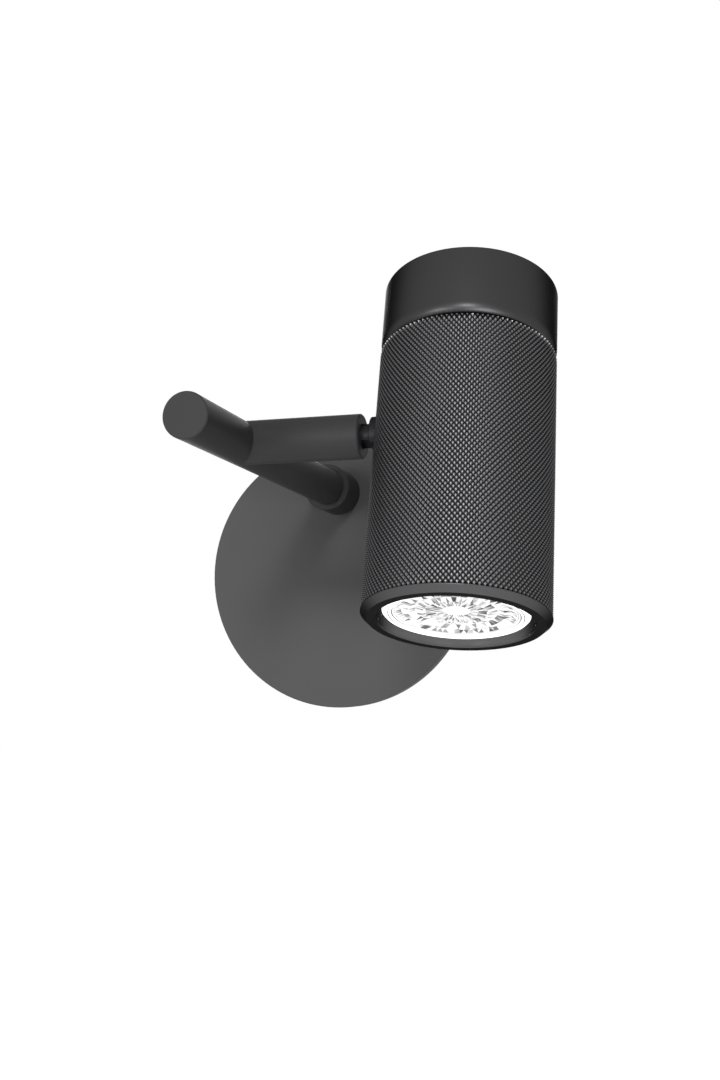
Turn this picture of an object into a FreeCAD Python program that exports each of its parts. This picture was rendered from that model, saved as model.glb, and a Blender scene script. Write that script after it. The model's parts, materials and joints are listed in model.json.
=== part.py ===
import FreeCAD, Part
import math
import os

# Pivoting spotlight wall light, in millimetres, +Z up.
# The origin is the centre of the wall plate's back face. The wall is the plane
# y = 0, the light stands out along -Y, and the lamp head hangs to the +X side.
# Pieces of the lamp head are drawn upright about the tilt axis, and the whole
# head is then leaned to the pose in which it rests.

# ---- wall plate and what is fixed to it ----
plate_diameter = 127.0
plate_depth = 7.5
plate_wall = 2.0
plate_edge_round = 0.6
rod_height = 38.3            # arm axis above the plate's centre

strap_width = 20.0
strap_thickness = 1.5
strap_lug_height = 3.6
strap_end_gap = 0.4          # lug to the plate's rim
slot_pitch = 55.0
slot_length = 14.0
slot_width = 4.4
cable_hole_diameter = 13.0
grommet_bore = 8.0
grommet_lip = 1.2
grommet_lip_width = 1.5
grommet_lip_bevel = 0.4
rim_screw_diameter = 4.0
rim_screw_hole_gap = 0.2

stud_thread_diameter = 3.0
stud_length = 4.6
stud_offset = 26.0           # earth stud, left of the arm axis
stud_nut_flats = 5.5
stud_nut_height = 2.0

terminal_length = 12.0
terminal_width = 13.0
terminal_height = 4.6
terminal_ear = 7.0
terminal_ear_height = 2.0
terminal_start = 17.0        # block's near end, right of the arm axis
terminal_pole_pitch = 5.0
terminal_hole_diameter = 2.4
terminal_corner = 0.8
release_start = 4.0          # release slots, from the block's near end
release_length = 4.0
release_width = 2.4
release_depth = 0.8

# ---- arm socket on the plate ----
socket_diameter = 21.2
socket_length = 19.5
socket_floor = 3.5
socket_edge = 0.5
socket_tail_diameter = 12.0
socket_bore = 8.0
ring_nut_flats = 17.0
ring_nut_height = 2.5
ring_washer_diameter = 18.0
ring_washer_thickness = 0.8
tail_past_nut = 0.3
plug_edge = 0.4

# ---- arm: main rod and side arm ----
rod_diameter = 16.5
rod_wall = 1.5
rod_reach = 185.0            # wall to the rod's tip
side_arm_depth = 134.5       # wall to the side arm's axis
side_arm_reach = 47.6        # rod axis to the side arm's end face
tip_plug_flange = 1.5
tip_edge = 0.4
lead_hole_diameter = 11.5    # through the main rod's wall, inside the side arm
plug_spigot_length = 10.0
plug_fit_gap = 0.05
running_gap = 0.05           # radial, at every turning fit
socket_seam_depth = 0.3      # rod tube's end inside the socket's mouth
arm_swivel_limit = 160.0     # degrees each way

# ---- swivel at the side arm's end ----
bush_flange = 1.2
bush_edge = 0.5
bush_length = 16.0
neck_diameter = 9.2
neck_length = 3.7            # side arm's end face to the collar
neck_flats = 6.5
stud_body_diameter = 10.8
stud_body_length = 11.5
friction_washer_thickness = 0.5
clip_thickness = 1.0
clip_groove_depth = 0.55
clip_width = 1.7
clip_opening = 3.0
stud_lead_bore = 5.0
flats_gap = 0.3              # bush to the neck's flats
collar_diameter = 13.8
collar_thickness = 2.5
collar_edge = 0.3
collar_flat = 5.0            # stud axis to the flat under the collar
stud_tail_diameter = 8.0
stud_past_nut = 1.0
stud_nut_thickness = 3.0
stud_nut_size = 13.0
saddle_diameter = 15.0
saddle_thickness = 1.6
saddle_gap = 0.05
head_tilt_limit = 155.0      # degrees each way from upright

# ---- stop screws, the same at both joints but for their size ----
stop_tip_gap = 0.25
stop_side_gap = 0.2
stop_end_clearance = 1.0     # degrees left at each end of the travel
socket_stop_thread = 4.0
socket_stop_tip = 2.8
socket_stop_groove = 1.2
swivel_stop_thread = 3.0
swivel_stop_tip = 2.0
swivel_stop_groove = 1.0
screw_recess = 0.2
key_depth = 1.0

# ---- disc springs ----
spring_height = 1.0
spring_sheet = 0.4
spring_side_gap = 0.3
socket_spring_bore = 8.4
swivel_spring_bore = 6.4

# ---- clearances that many pieces share ----
hole_gap = 0.1               # radial, round screws and threaded tails
cut_past = 1.0               # how far a cutter passes a face

# ---- lamp head, heights measured from the tilt axis ----
head_lean = 16.5             # degrees, cap towards the wall
head_diameter = 64.0
head_below_axis = 72.0
head_above_axis = 55.5
mouth_diameter = 52.8
mouth_bevel_width = 2.2
mouth_bevel_height = 2.0
mouth_edge = 0.3
body_top_edge = 0.3
spot_gap = 0.2               # radial, collar to its spot face
spot_depth = 0.05
upper_bore_diameter = 55.8
holder_seat = -8.3           # height of the seat for the holder plate
spigot_diameter = 58.8
spigot_length = 6.0
cap_diameter = 63.8
cap_height = 26.4
cap_gap = 0.9
cap_top = 3.0
cap_lower_round = 2.0
cap_upper_round = 0.8
cap_thread_gap = 0.1

# ---- lamp holder and its plate ----
holder_plate_thickness = 1.5
holder_plate_gap = 0.1
wire_notch_width = 18.0
wire_notch_depth = 16.0
earth_screw_x = 12.0
earth_screw_y = 14.0
retainer_thickness = 1.2
retainer_groove = 0.9
retainer_width = 2.6
retainer_side_gap = 0.1
retainer_opening = 60.0      # degrees, over the swivel stud's nut
holder_length = 27.0
holder_width = 17.0
holder_height = 14.0
holder_corner = 3.0
holder_screw_pitch = 20.0
holder_screw_diameter = 3.0
holder_screw_length = 8.0
earth_screw_length = 5.0
screw_head_diameter = 5.6
screw_head_height = 1.8
screw_head_bevel = 0.5
pin_pitch = 10.0
pin_hole_diameter = 6.0
pin_hole_depth = 9.0
contact_thickness = 0.6
contact_gap = 0.2
wire_hole_depth = 4.0
wire_hole_gap = 0.3
wire_hole_drop = 3.0         # below the holder's top

# ---- lamp ----
lamp_diameter = 49.5
lamp_recess = 2.4            # lamp face above the mouth
lamp_rim_height = 3.0
lamp_base_diameter = 26.0
lamp_base_height = 7.0
lamp_base_plug = 2.0
lamp_base_gap = 0.05
lamp_base_round = 1.0
lamp_wall = 1.4
lamp_edge = 0.8
lamp_ledge = 1.0             # rim's inner step, beyond the flank's wall
flank_swell_out = 2.2
flank_swell_drop = 2.0
lamp_window_diameter = 43.6
lens_setback = 0.4           # lens face behind the rim's face
lens_gap = 0.05
lens_ledge_width = 2.0
lens_ledge_rise = 1.2
lens_depth = 9.0             # rim's back to the flat before the emitter
lens_flat_width = 2.0
pin_diameter = 3.0
pin_head_diameter = 5.0
pin_length = 7.0
pin_head_height = 2.2
board_diameter = 30.0
board_thickness = 1.6
emitter_diameter = 9.0
emitter_height = 0.8
emitter_gap = 0.3
lamp_to_holder_gap = 0.3

# ---- leads ----
lead_diameter = 4.4
core_diameter = 1.5
core_spread = 1.15
lead_bend = 9.0
core_bend = 1.6
lead_gap = 0.3
core_wall_height = 1.0       # cores' axis in front of the wall, behind the nut
tag_thickness = 0.6
tag_diameter = 6.5
tag_strip_width = 2.4
crimp_wall = 0.4
crimp_length = 3.0
lead_past_nut = 3.0
nut_corner_gap = 1.0         # ring nut's corners to the cores that pass them
core_straight = 2.0          # straight run of a core before its terminal
core_grip = 5.0              # length of a core inside the terminal block
core_grip_in_holder = 3.0

head_radius = head_diameter / 2
rod_radius = rod_diameter / 2
tube_bore_radius = rod_radius - rod_wall
plate_inner_radius = plate_diameter / 2 - plate_wall
plate_skin = -(plate_depth - plate_wall)          # y of the plate's inner face
socket_front = -(plate_depth + socket_length)     # y of the socket's mouth
socket_bottom = -(plate_depth + socket_floor)     # y of the socket's floor
rod_tube_start = socket_front + socket_seam_depth
bush_rear = side_arm_reach - bush_flange - bush_length
cap_edge_height = head_above_axis - cap_height
body_top = cap_edge_height - cap_gap
spot_face = math.sqrt(head_radius ** 2 - (collar_diameter / 2) ** 2) - spot_depth
saddle_face = upper_bore_diameter / 2 - saddle_thickness
head_offset = side_arm_reach + neck_length + collar_thickness + spot_face
lamp_face = -head_below_axis + lamp_recess
lens_back = lamp_face + lamp_rim_height + lens_depth
holder_bottom = holder_seat - holder_height
lamp_base_plane = holder_bottom - lamp_to_holder_gap
core_entry_height = holder_seat - wire_hole_drop
core_entry_y = plate_skin + terminal_height / 2
crimp_radius = core_diameter / 2 + crimp_wall
nut_corner_radius = ring_nut_flats / math.sqrt(3)


def vec(x, y, z):
    return FreeCAD.Vector(x, y, z)


ALONG_X = vec(1, 0, 0)
ALONG_Y = vec(0, 1, 0)
ALONG_Z = vec(0, 0, 1)
AWAY_FROM_WALL = vec(0, -1, 0)


def placed(shape, start, direction):
    """Turn a shape drawn about +Z onto a direction and carry it to a start point."""
    moved = shape.copy()
    turn = FreeCAD.Rotation(ALONG_Z, direction)
    moved.Placement = FreeCAD.Placement(start, turn).multiply(moved.Placement)
    return moved


def leaned(shape):
    """Carry a piece drawn in the upright head to its place on the leaning head."""
    moved = shape.copy()
    lean = FreeCAD.Rotation(ALONG_X, -head_lean)
    pivot = vec(head_offset, -side_arm_depth, rod_height)
    moved.Placement = FreeCAD.Placement(pivot, lean).multiply(moved.Placement)
    return moved


def corner_edges(before, corner, after, radius):
    """Tangent points and middle point of the arc that rounds one corner."""
    to_before = (before - corner).normalize()
    to_after = (after - corner).normalize()
    half_angle = to_before.getAngle(to_after) / 2
    reach = radius / math.tan(half_angle)
    inward = (to_before + to_after).normalize()
    middle = corner + inward * (radius / math.sin(half_angle) - radius)
    return corner + to_before * reach, middle, corner + to_after * reach


def rounded_wire(points, radii, closed):
    """Straight runs through the points, joined by tangent arcs of the given radii."""
    count = len(points)
    edges = []
    first_start = None
    pen = None
    for i in range(count):
        is_end = not closed and i in (0, count - 1)
        if radii[i] == 0 or is_end:
            start = middle = finish = points[i]
        else:
            start, middle, finish = corner_edges(
                points[i - 1], points[i], points[(i + 1) % count], radii[i])
        if pen is not None and (start - pen).Length > 1e-6:
            edges.append(Part.LineSegment(pen, start).toShape())
        if start is not finish:
            edges.append(Part.Arc(start, middle, finish).toShape())
        if first_start is None:
            first_start = start
        pen = finish
    if closed and (first_start - pen).Length > 1e-6:
        edges.append(Part.LineSegment(pen, first_start).toShape())
    return Part.Wire(edges)


def half_section(corners):
    """Face between radius and height from (radius, height[, rounding]) corners."""
    points = [vec(c[0], 0, c[1]) for c in corners]
    radii = [c[2] if len(c) > 2 else 0 for c in corners]
    return Part.Face(rounded_wire(points, radii, True))


def turned(corners, start=vec(0, 0, 0), direction=ALONG_Z):
    """A lathe part: its half section spun about its axis."""
    solid = half_section(corners).revolve(vec(0, 0, 0), ALONG_Z, 360)
    return placed(solid, start, direction)


def rod(radius, length, start, direction):
    return Part.makeCylinder(radius, length, start, direction)


def ring(outer_radius, inner_radius, length, start, direction):
    return rod(outer_radius, length, start, direction).cut(
        rod(inner_radius, length, start, direction))


def box_between(low, high):
    size = high - low
    return Part.makeBox(size.x, size.y, size.z, low)


def hex_prism(across_flats, height, start, direction):
    corner_radius = across_flats / math.sqrt(3)
    corners = []
    for i in range(7):
        angle = math.radians(60 * i)
        corners.append(vec(corner_radius * math.cos(angle), corner_radius * math.sin(angle), 0))
    prism = Part.Face(Part.makePolygon(corners)).extrude(vec(0, 0, height))
    return placed(prism, start, direction)


def nut(across_flats, height, bore_radius, start, direction):
    return hex_prism(across_flats, height, start, direction).cut(
        rod(bore_radius, height, start, direction))


def disc_spring(outer_radius, inner_radius, start, direction):
    """A coned spring washer, its high side inwards."""
    rise = spring_height - spring_sheet
    return turned([(inner_radius, rise), (outer_radius, 0),
                   (outer_radius, spring_sheet), (inner_radius, spring_height)],
                  start, direction)


def stop_groove(outer_radius, depth, width, station, wall_angle, half_wall, start, direction):
    """Ring cut for a stop screw's tip, broken by the wall that ends its travel.

    The wall stands at wall_angle, in degrees, measured about the drawn +Z axis.
    """
    inner = outer_radius - depth
    outer = outer_radius + cut_past
    face = half_section([(inner, station), (outer, station),
                         (outer, station + width), (inner, station + width)])
    face.rotate(vec(0, 0, 0), ALONG_Z, wall_angle + half_wall)
    groove = face.revolve(vec(0, 0, 0), ALONG_Z, 360 - 2 * half_wall)
    return placed(groove, start, direction)


def stop_wall_half_angle(limit, tip_diameter, contact_radius):
    """Half of the wall's angle that stops a screw tip at the joint's limit."""
    tip_angle = math.degrees(math.asin(tip_diameter / 2 / contact_radius))
    return 180 - limit - tip_angle - stop_end_clearance


def stop_screw(thread, tip, outer_radius, body_radius, groove_radius, centre, direction):
    """Set screw with a dog point; centre is on the axis that it points at."""
    body_start = body_radius + stop_tip_gap
    tip_start = groove_radius + stop_tip_gap
    body_length = outer_radius - screw_recess - body_start
    body = rod(thread / 2, body_length, centre + direction * body_start, direction)
    point = rod(tip / 2, body_start - tip_start, centre + direction * tip_start, direction)
    key = hex_prism(thread / 2, key_depth,
                    centre + direction * (outer_radius - screw_recess - key_depth), direction)
    return body.fuse(point).cut(key).removeSplitter()


def tube_along(points, bend, radius):
    """A lead of round section: straight runs joined by tangent arcs."""
    radii = [bend] * len(points)
    path = rounded_wire(points, radii, False)
    heading = (points[1] - points[0]).normalize()
    circle = Part.Wire(Part.Circle(points[0], heading, radius).toShape())
    return path.makePipeShell([circle], True, False)


# ---------------------------------------------------------------- wall plate

def earth_stud_place():
    return vec(-stud_offset, plate_skin, rod_height)


def terminal_stud_place():
    along = terminal_start + terminal_length + terminal_ear / 2
    return vec(along, plate_skin, rod_height)


def rim_screw_depth():
    """Distance of the rim screws' axis in front of the wall."""
    return strap_thickness + strap_lug_height / 2


def wall_plate():
    outer = plate_diameter / 2
    shell = turned([(0, plate_depth), (0, plate_depth - plate_wall),
                    (plate_inner_radius, plate_depth - plate_wall),
                    (plate_inner_radius, 0), (outer, 0),
                    (outer, plate_depth, plate_edge_round)],
                   vec(0, 0, 0), AWAY_FROM_WALL)
    tail_hole = rod(socket_tail_diameter / 2 + hole_gap, plate_wall,
                    vec(0, -plate_depth, rod_height), ALONG_Y)
    shell = shell.cut(tail_hole)
    for side in (-1, 1):
        screw_hole = rod(rim_screw_diameter / 2 + rim_screw_hole_gap,
                         plate_wall + 2 * cut_past,
                         vec(side * (plate_inner_radius - cut_past), -rim_screw_depth(), 0),
                         ALONG_X * side)
        shell = shell.cut(screw_hole)
    for place in (earth_stud_place(), terminal_stud_place()):
        shell = shell.fuse(rod(stud_thread_diameter / 2, stud_length, place, ALONG_Y))
    return shell


def slot_cutter(centre_x):
    """Round-ended slot through the strap, along X."""
    straight = slot_length - slot_width
    low = vec(centre_x - straight / 2, -strap_thickness, -slot_width / 2)
    high = vec(centre_x + straight / 2, 0, slot_width / 2)
    cutter = box_between(low, high)
    for side in (-1, 1):
        end = vec(centre_x + side * straight / 2, -strap_thickness, 0)
        cutter = cutter.fuse(rod(slot_width / 2, strap_thickness, end, ALONG_Y))
    return cutter


def strap_end_x():
    """Outer face of a lug on the strap's centre line, clear of the round rim."""
    clear_radius = plate_inner_radius - strap_end_gap
    return math.sqrt(clear_radius ** 2 - (strap_width / 2) ** 2)


def wall_strap():
    end = strap_end_x()
    half = strap_width / 2
    strap = box_between(vec(-end, -strap_thickness, -half), vec(end, 0, half))
    for side in (-1, 1):
        inner = side * (end - strap_thickness)
        low_x = min(inner, side * end)
        lug = box_between(vec(low_x, -strap_thickness - strap_lug_height, -half),
                          vec(low_x + strap_thickness, 0, half))
        strap = strap.fuse(lug)
        tapped = rod(rim_screw_diameter / 2, strap_thickness * 2,
                     vec(side * (end - strap_thickness * 1.5), -rim_screw_depth(), 0),
                     ALONG_X * side)
        strap = strap.cut(tapped)
        strap = strap.cut(slot_cutter(side * slot_pitch / 2))
    hole = rod(cable_hole_diameter / 2, strap_thickness,
               vec(0, -strap_thickness, 0), ALONG_Y)
    return strap.cut(hole).removeSplitter()


def cable_grommet():
    """Rubber ring in the strap's cable hole, its lip on the side away from the wall."""
    waist = cable_hole_diameter / 2
    lip = waist + grommet_lip_width
    bore = grommet_bore / 2
    front = strap_thickness + grommet_lip
    return turned([(bore, 0), (waist, 0), (waist, strap_thickness),
                   (lip, strap_thickness), (lip, front - grommet_lip_bevel),
                   (lip - grommet_lip_bevel, front), (bore, front)],
                  vec(0, 0, 0), AWAY_FROM_WALL)


def rim_screws():
    """Two set screws that hold the plate's rim to the strap's lugs."""
    screws = []
    start = strap_end_x() - strap_thickness
    length = plate_diameter / 2 - screw_recess - start
    for side in (-1, 1):
        axis = ALONG_X * side
        base = vec(side * start, -rim_screw_depth(), 0)
        body = rod(rim_screw_diameter / 2, length, base, axis)
        key = hex_prism(rim_screw_diameter / 2, key_depth,
                        base + axis * (length - key_depth), axis)
        screws.append(body.cut(key))
    return Part.makeCompound(screws)


def terminal_block():
    """Low two-pole push-in block with a fixing ear over its stud."""
    half = terminal_width / 2
    start = terminal_start
    end = start + terminal_length
    back = plate_skin + terminal_height
    block = box_between(vec(start, plate_skin, rod_height - half),
                        vec(end, back, rod_height + half))
    upright = [e for e in block.Edges if abs(e.tangentAt(e.FirstParameter).y) > 0.9]
    block = block.makeFillet(terminal_corner, upright)
    ear_half = terminal_ear / 2
    ear = box_between(vec(end, plate_skin, rod_height - ear_half),
                      vec(end + terminal_ear, plate_skin + terminal_ear_height,
                          rod_height + ear_half))
    block = block.fuse(ear)
    for side in (-1, 1):
        pole_z = rod_height + side * terminal_pole_pitch / 2
        entry = vec(start, core_entry_y, pole_z)
        block = block.cut(rod(terminal_hole_diameter / 2, terminal_length, entry, ALONG_X))
        slot_start = start + release_start
        release = box_between(vec(slot_start, back - release_depth, pole_z - release_width / 2),
                              vec(slot_start + release_length, back,
                                  pole_z + release_width / 2))
        block = block.cut(release)
    clear_hole = rod(stud_thread_diameter / 2 + hole_gap, terminal_ear_height,
                     terminal_stud_place(), ALONG_Y)
    return block.cut(clear_hole).removeSplitter()


def earth_tag():
    """Ring tag of the arm's earth core, under the nut of the earth stud."""
    place = earth_stud_place()
    tag = rod(tag_diameter / 2, tag_thickness, place, ALONG_Y)
    strip = box_between(place + vec(0, 0, -tag_strip_width / 2),
                        place + vec(tag_diameter, tag_thickness, tag_strip_width / 2))
    crimp = rod(crimp_radius, crimp_length,
                place + vec(tag_diameter, crimp_radius, 0), ALONG_X)
    tag = tag.fuse(strip).fuse(crimp)
    return tag.cut(rod(stud_thread_diameter / 2 + hole_gap, tag_thickness, place, ALONG_Y))


def stud_nuts():
    """The nuts on the earth stud and on the terminal block's stud."""
    bore = stud_thread_diameter / 2
    earth = earth_stud_place() + vec(0, tag_thickness, 0)
    block = terminal_stud_place() + vec(0, terminal_ear_height, 0)
    return Part.makeCompound([nut(stud_nut_flats, stud_nut_height, bore, earth, ALONG_Y),
                              nut(stud_nut_flats, stud_nut_height, bore, block, ALONG_Y)])


def core_offsets():
    """Places of the live, neutral and earth cores in the lead's section."""
    return [(core_spread * math.cos(math.radians(a)), core_spread * math.sin(math.radians(a)))
            for a in (60, -60, 180)]


def plate_cores():
    """The lead's three cores, from the socket's bore to the terminals."""
    cores = []
    start_y = socket_bottom + lead_gap
    wall_y = -core_wall_height
    for (dx, dz), side in zip(core_offsets()[:2], (1, -1)):
        pole_z = rod_height + side * terminal_pole_pitch / 2
        turn_x = nut_corner_radius + nut_corner_gap
        cores.append(tube_along([vec(dx, start_y, rod_height + dz),
                                 vec(dx, wall_y, rod_height + dz),
                                 vec(turn_x, wall_y, pole_z),
                                 vec(terminal_start - core_straight, core_entry_y, pole_z),
                                 vec(terminal_start + core_grip, core_entry_y, pole_z)],
                                core_bend, core_diameter / 2))
    dx, dz = core_offsets()[2]
    crimp_end = -stud_offset + tag_diameter + crimp_length
    crimp_y = plate_skin + crimp_radius
    turn_x = -nut_corner_radius - nut_corner_gap
    cores.append(tube_along([vec(dx, start_y, rod_height + dz),
                             vec(dx, wall_y, rod_height + dz),
                             vec(turn_x, wall_y, rod_height),
                             vec(crimp_end + core_straight, crimp_y, rod_height),
                             vec(crimp_end, crimp_y, rod_height)],
                            core_bend, core_diameter / 2))
    return Part.makeCompound(cores)


# ---------------------------------------------------------------- arm socket

def socket_stop_station():
    """Height of the stop screw's axis above the plate's front face."""
    return socket_floor + (socket_length - socket_floor) / 2


def arm_socket():
    outer = socket_diameter / 2
    bore = rod_radius + running_gap
    tail = socket_tail_diameter / 2
    tail_end = -(plate_wall + ring_washer_thickness + ring_nut_height + tail_past_nut)
    socket = turned([(socket_bore / 2, tail_end), (tail, tail_end), (tail, 0), (outer, 0),
                     (outer, socket_length - socket_edge),
                     (outer - socket_edge, socket_length),
                     (bore, socket_length), (bore, socket_floor),
                     (socket_bore / 2, socket_floor)],
                    vec(0, -plate_depth, rod_height), AWAY_FROM_WALL)
    tapped = rod(socket_stop_thread / 2, outer,
                 vec(0, -plate_depth - socket_stop_station(), rod_height), ALONG_Z)
    return socket.cut(tapped)


def socket_washer():
    return ring(ring_washer_diameter / 2, socket_tail_diameter / 2 + hole_gap,
                ring_washer_thickness, vec(0, plate_skin, rod_height), ALONG_Y)


def socket_ring_nut():
    start = vec(0, plate_skin + ring_washer_thickness, rod_height)
    return nut(ring_nut_flats, ring_nut_height, socket_tail_diameter / 2, start, ALONG_Y)


def socket_stop_screw():
    centre = vec(0, -plate_depth - socket_stop_station(), rod_height)
    return stop_screw(socket_stop_thread, socket_stop_tip, socket_diameter / 2,
                      rod_radius, rod_radius - socket_stop_groove, centre, ALONG_Z)


def socket_spring():
    return disc_spring(rod_radius - spring_side_gap, socket_spring_bore / 2,
                       vec(0, socket_bottom, rod_height), AWAY_FROM_WALL)


# ---------------------------------------------------------------- arm

def rod_pivot_plug():
    """Turned end of the rod: runs in the socket and is brazed into the tube."""
    start = socket_bottom - spring_height
    body_length = start - rod_tube_start
    bore = socket_bore / 2
    spigot = tube_bore_radius - plug_fit_gap
    place = vec(0, start, rod_height)
    plug = turned([(bore, 0), (rod_radius - plug_edge, 0), (rod_radius, plug_edge),
                   (rod_radius, body_length), (spigot, body_length),
                   (spigot, body_length + plug_spigot_length),
                   (bore, body_length + plug_spigot_length)],
                  place, AWAY_FROM_WALL)
    contact = rod_radius - socket_stop_groove / 2
    half_wall = stop_wall_half_angle(arm_swivel_limit, socket_stop_tip, contact)
    width = socket_stop_tip + 2 * stop_side_gap
    station = -start - plate_depth - socket_stop_station()
    wall_angle = groove_wall_angle(AWAY_FROM_WALL, vec(0, 0, -1))
    groove = stop_groove(rod_radius, socket_stop_groove, width, -station - width / 2,
                         wall_angle, half_wall, place, AWAY_FROM_WALL)
    return plug.cut(groove)


def groove_wall_angle(direction, wall_direction):
    """Angle about the drawn +Z axis that ends up pointing along wall_direction."""
    turn = FreeCAD.Rotation(ALONG_Z, direction)
    drawn = turn.inverted().multVec(wall_direction)
    return math.degrees(math.atan2(drawn.y, drawn.x))


def main_rod():
    tip_y = -(rod_reach - tip_plug_flange)
    length = rod_tube_start - tip_y
    start = vec(0, tip_y, rod_height)
    tube = ring(rod_radius, tube_bore_radius, length, start, ALONG_Y)
    side_hole = rod(lead_hole_diameter / 2, rod_radius + cut_past,
                    vec(0, -side_arm_depth, rod_height), ALONG_X)
    return tube.cut(side_hole)


def rod_tip_plug():
    spigot = tube_bore_radius - plug_fit_gap
    return turned([(0, 0), (rod_radius - tip_edge, 0), (rod_radius, tip_edge),
                   (rod_radius, tip_plug_flange), (spigot, tip_plug_flange),
                   (spigot, tip_plug_flange + plug_spigot_length),
                   (0, tip_plug_flange + plug_spigot_length)],
                  vec(0, -rod_reach, rod_height), ALONG_Y)


def swivel_stop_x():
    return side_arm_reach - bush_flange - friction_washer_thickness - stud_body_length / 2


def side_arm():
    """Equal tube, coped round the main rod where the two are brazed."""
    length = side_arm_reach - bush_flange
    start = vec(0, -side_arm_depth, rod_height)
    tube = ring(rod_radius, tube_bore_radius, length, start, ALONG_X)
    saddle = rod(rod_radius, 4 * rod_radius,
                 vec(0, -side_arm_depth - 2 * rod_radius, rod_height), ALONG_Y)
    tapped = rod(swivel_stop_thread / 2, 2 * rod_radius,
                 vec(swivel_stop_x(), -side_arm_depth, rod_height), ALONG_Y)
    return tube.cut(saddle).cut(tapped)


def arm_end_bush():
    """Bearing for the swivel stud, with the flange that closes the side arm."""
    outer = tube_bore_radius - plug_fit_gap
    bore = stud_body_diameter / 2 + running_gap
    neck_bore = neck_diameter / 2 + running_gap
    length = bush_length + bush_flange
    groove_start = length - bush_flange - friction_washer_thickness - stud_body_length \
        - spring_height - clip_thickness
    bush = turned([(bore, 0), (outer, 0), (outer, bush_length), (rod_radius, bush_length),
                   (rod_radius, length - bush_edge), (rod_radius - bush_edge, length),
                   (neck_bore, length), (neck_bore, bush_length), (bore, bush_length)],
                  vec(bush_rear, -side_arm_depth, rod_height), ALONG_X)
    clip_groove = ring(bore + clip_groove_depth, bore - cut_past, clip_thickness,
                       vec(bush_rear + groove_start, -side_arm_depth, rod_height), ALONG_X)
    tapped = rod(swivel_stop_thread / 2, 2 * rod_radius,
                 vec(swivel_stop_x(), -side_arm_depth, rod_height), ALONG_Y)
    return bush.cut(clip_groove).cut(tapped)


def swivel_stop_screw():
    centre = vec(swivel_stop_x(), -side_arm_depth, rod_height)
    body = stud_body_diameter / 2
    return stop_screw(swivel_stop_thread, swivel_stop_tip, rod_radius,
                      body, body - swivel_stop_groove, centre, ALONG_Y)


def swivel_friction_washer():
    start = side_arm_reach - bush_flange - friction_washer_thickness
    return ring(stud_body_diameter / 2, neck_diameter / 2 + hole_gap,
                friction_washer_thickness,
                vec(start, -side_arm_depth, rod_height), ALONG_X)


def stud_rear_x():
    return side_arm_reach - bush_flange - friction_washer_thickness - stud_body_length


def swivel_spring():
    start = vec(stud_rear_x() - spring_height, -side_arm_depth, rod_height)
    return disc_spring(stud_body_diameter / 2 - spring_side_gap, swivel_spring_bore / 2,
                       start, ALONG_X)


def swivel_clip():
    """Internal retaining ring, open at one side, behind the spring."""
    outer = stud_body_diameter / 2 + clip_groove_depth
    inner = outer - clip_width
    start = vec(stud_rear_x() - spring_height - clip_thickness, -side_arm_depth, rod_height)
    clip = ring(outer, inner, clip_thickness, start, ALONG_X)
    half = clip_opening / 2
    return clip.cut(box_between(start + vec(0, -half, 0),
                                start + vec(clip_thickness, half, outer + cut_past)))


def arm_lead():
    """Sleeved lead from the socket, along the rod and round into the side arm."""
    points = [vec(0, socket_bottom - lead_gap, rod_height),
              vec(0, -side_arm_depth, rod_height),
              vec(bush_rear - lead_gap, -side_arm_depth, rod_height)]
    return tube_along(points, lead_bend, lead_diameter / 2)


# ---------------------------------------------------------------- lamp head
# Everything below is drawn upright, with the tilt axis along X through the origin.

def swivel_stud():
    """Hollow turned stud: bearing, flatted neck, collar and threaded tail."""
    rear = stud_rear_x() - head_offset
    washer_face = rear + stud_body_length
    collar_face = -spot_face - collar_thickness
    tail_end = -saddle_face + stud_nut_thickness + stud_past_nut
    bore = stud_lead_bore / 2
    body = stud_body_diameter / 2
    neck = neck_diameter / 2
    collar = collar_diameter / 2
    tail = stud_tail_diameter / 2
    stud = turned([(bore, 0), (body, 0), (body, washer_face - rear),
                   (neck, washer_face - rear), (neck, collar_face - rear),
                   (collar, collar_face - rear, collar_edge), (collar, -spot_face - rear),
                   (tail, -spot_face - rear), (tail, tail_end - rear),
                   (bore, tail_end - rear)],
                  vec(rear, 0, 0), ALONG_X)
    flat_start = side_arm_reach - head_offset + flats_gap
    for side in (-1, 1):
        low = min(side * neck_flats / 2, side * neck)
        stud = stud.cut(box_between(vec(flat_start, -neck, low),
                                    vec(collar_face, neck, low + neck - neck_flats / 2)))
    stud = stud.cut(box_between(vec(collar_face, -collar, -collar),
                                vec(-spot_face, collar, -collar_flat)))
    contact = body - swivel_stop_groove / 2
    half_wall = stop_wall_half_angle(head_tilt_limit, swivel_stop_tip, contact)
    width = swivel_stop_tip + 2 * stop_side_gap
    station = swivel_stop_x() - head_offset - rear - width / 2
    wall_angle = groove_wall_angle(ALONG_X, AWAY_FROM_WALL)
    groove = stop_groove(body, swivel_stop_groove, width, station,
                         wall_angle, half_wall, vec(rear, 0, 0), ALONG_X)
    return leaned(stud.cut(groove))


def stud_saddle():
    """Washer between the nut and the head's round inner wall."""
    bore = upper_bore_diameter / 2
    washer = rod(saddle_diameter / 2, saddle_thickness, vec(-bore, 0, 0), ALONG_X)
    wall_side = rod(bore - saddle_gap, 2 * saddle_diameter,
                    vec(0, 0, -saddle_diameter), ALONG_Z)
    hole = rod(stud_tail_diameter / 2 + hole_gap, saddle_thickness, vec(-bore, 0, 0), ALONG_X)
    return leaned(washer.common(wall_side).cut(hole))


def stud_nut():
    return leaned(nut(stud_nut_size, stud_nut_thickness, stud_tail_diameter / 2,
                      vec(-saddle_face, 0, 0), ALONG_X))


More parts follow.
